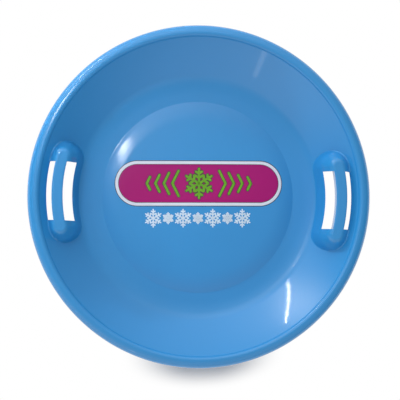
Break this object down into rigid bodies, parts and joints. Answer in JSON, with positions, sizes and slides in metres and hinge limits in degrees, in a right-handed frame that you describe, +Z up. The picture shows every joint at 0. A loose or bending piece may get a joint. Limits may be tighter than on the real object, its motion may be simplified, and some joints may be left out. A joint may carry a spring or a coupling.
{
  "type": "saucer sled",
  "caption": "Round plastic saucer sled: a shallow dish with a domed seat, rolled rim and arched grips let into its wall for a seated rider.",
  "frame": {"origin": "on the dish's axis, on the ground plane under its running ring", "axes": "+Z up along the dish's axis, +X through the right-hand grip, +Y towards the label's side"},
  "size_m": [0.6, 0.6, 0.0681],
  "materials": {
    "blue_plastic": "glossy moulded polyethylene, coloured through",
    "printed_film": "glossy printed film with a pale border"
  },
  "bodies": {
    "root": {"saucer_shell": "blue_plastic", "left_handle": "blue_plastic", "right_handle": "blue_plastic", "label_film": "printed_film"}
  },
  "joints": []
}
